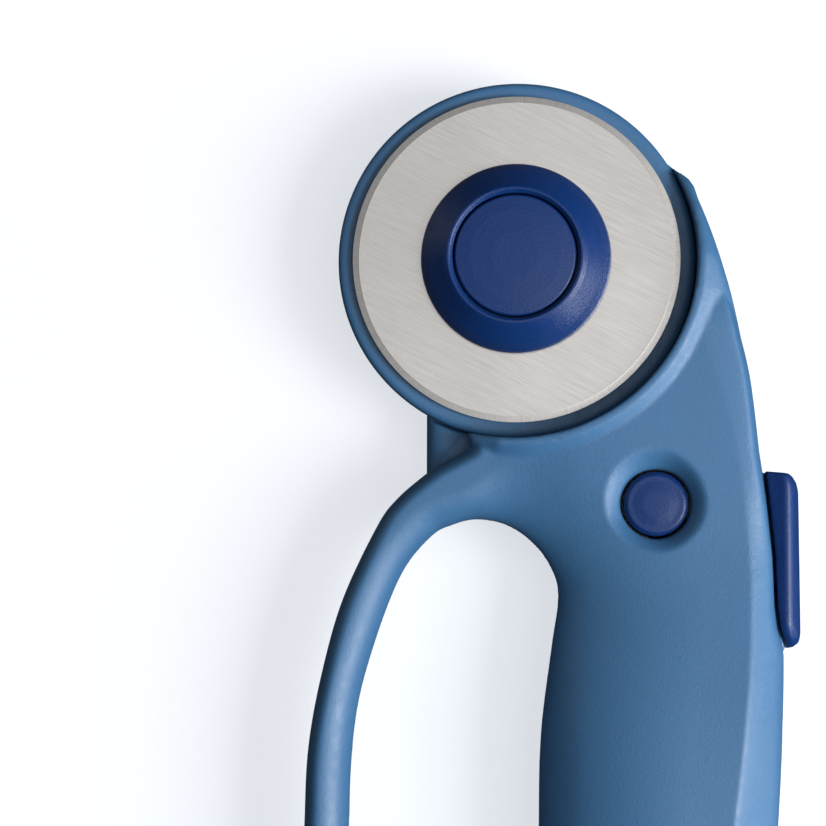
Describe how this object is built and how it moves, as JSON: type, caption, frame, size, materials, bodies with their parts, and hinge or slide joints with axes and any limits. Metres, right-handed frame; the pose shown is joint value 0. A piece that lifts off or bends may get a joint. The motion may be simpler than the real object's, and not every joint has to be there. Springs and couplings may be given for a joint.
{
  "type": "rotary cutter",
  "caption": "Loop-handled rotary cutter for fabric: round blade over a guard disc with a raised lip, snap-off knob, thumb slider and lock button on a two-shell handle.",
  "frame": {"origin": "on the tool's flat back, straight under the blade's axis at rest, with the blade drawn back", "axes": "+Z out of the blade face, square to the flat back; +Y along the handle towards the blade; +X towards the thumb slider's edge"},
  "size_m": [0.068, 0.1723, 0.02],
  "materials": {
    "body_blue": "fine-textured moulded plastic, mid blue",
    "accent_navy": "satin moulded plastic, deep navy blue",
    "blade_steel": "ground tool steel with fine straight brushing and a ground edge",
    "axle_steel": "turned steel",
    "screw_steel": "zinc-plated steel",
    "spring_steel": "bright spring steel",
    "acetal": "low-friction white plastic"
  },
  "bodies": {
    "handle": {"near_shell": "body_blue", "far_shell": "body_blue", "guard_plate": "body_blue", "shell_screw_1": "screw_steel", "shell_screw_2": "screw_steel", "shell_screw_3": "screw_steel", "shell_screw_4": "screw_steel", "shell_screw_5": "screw_steel", "guard_screw_1": "screw_steel", "guard_screw_2": "screw_steel", "guard_screw_3": "screw_steel", "detent_spring": "spring_steel", "detent_screw": "screw_steel", "lock_clip": "spring_steel"},
    "slider": {"thumb_slider": "accent_navy", "link_pin": "axle_steel"},
    "carriage": {"blade_carriage": "acetal", "axle_stud": "axle_steel", "axle_clip": "spring_steel", "blade_washer": "acetal"},
    "blade": {"rotary_blade": "blade_steel"},
    "knob": {"blade_knob": "accent_navy", "latch_clip": "spring_steel", "release_spring": "spring_steel"},
    "release": {"release_button": "accent_navy"},
    "lock": {"lock_button": "accent_navy", "unlock_cap": "accent_navy", "lock_screw": "screw_steel"}
  },
  "joints": [
    {"name": "slider_slide", "type": "slide", "parent": "handle", "child": "slider", "axis": [0, 1, 0], "range_m": [0, 0.00523]},
    {"name": "carriage_slide", "type": "slide", "parent": "handle", "child": "carriage", "axis": [-0.4909, 0.8712, 0], "range_m": [0, 0.006]},
    {"name": "blade_spin", "type": "hinge", "parent": "carriage", "child": "blade", "pos_m": [0, 0, 0.01245], "axis": [0, 0, 1], "continuous": true},
    {"name": "knob_lift", "type": "slide", "parent": "carriage", "child": "knob", "axis": [0, 0, 1], "range_m": [0, 0.008]},
    {"name": "release_press", "type": "slide", "parent": "knob", "child": "release", "axis": [0, 0, -1], "range_m": [0, 0.001], "stiffness_N_per_m": 600, "springref_m": -0.001, "deforming": ["release_spring"]},
    {"name": "lock_press", "type": "slide", "parent": "handle", "child": "lock", "axis": [0, 0, -1], "range_m": [0, 0.0025]}
  ],
  "couplings": [
    {"joint": "carriage_slide", "follows": "slider_slide", "ratio": 1.1478}
  ]
}
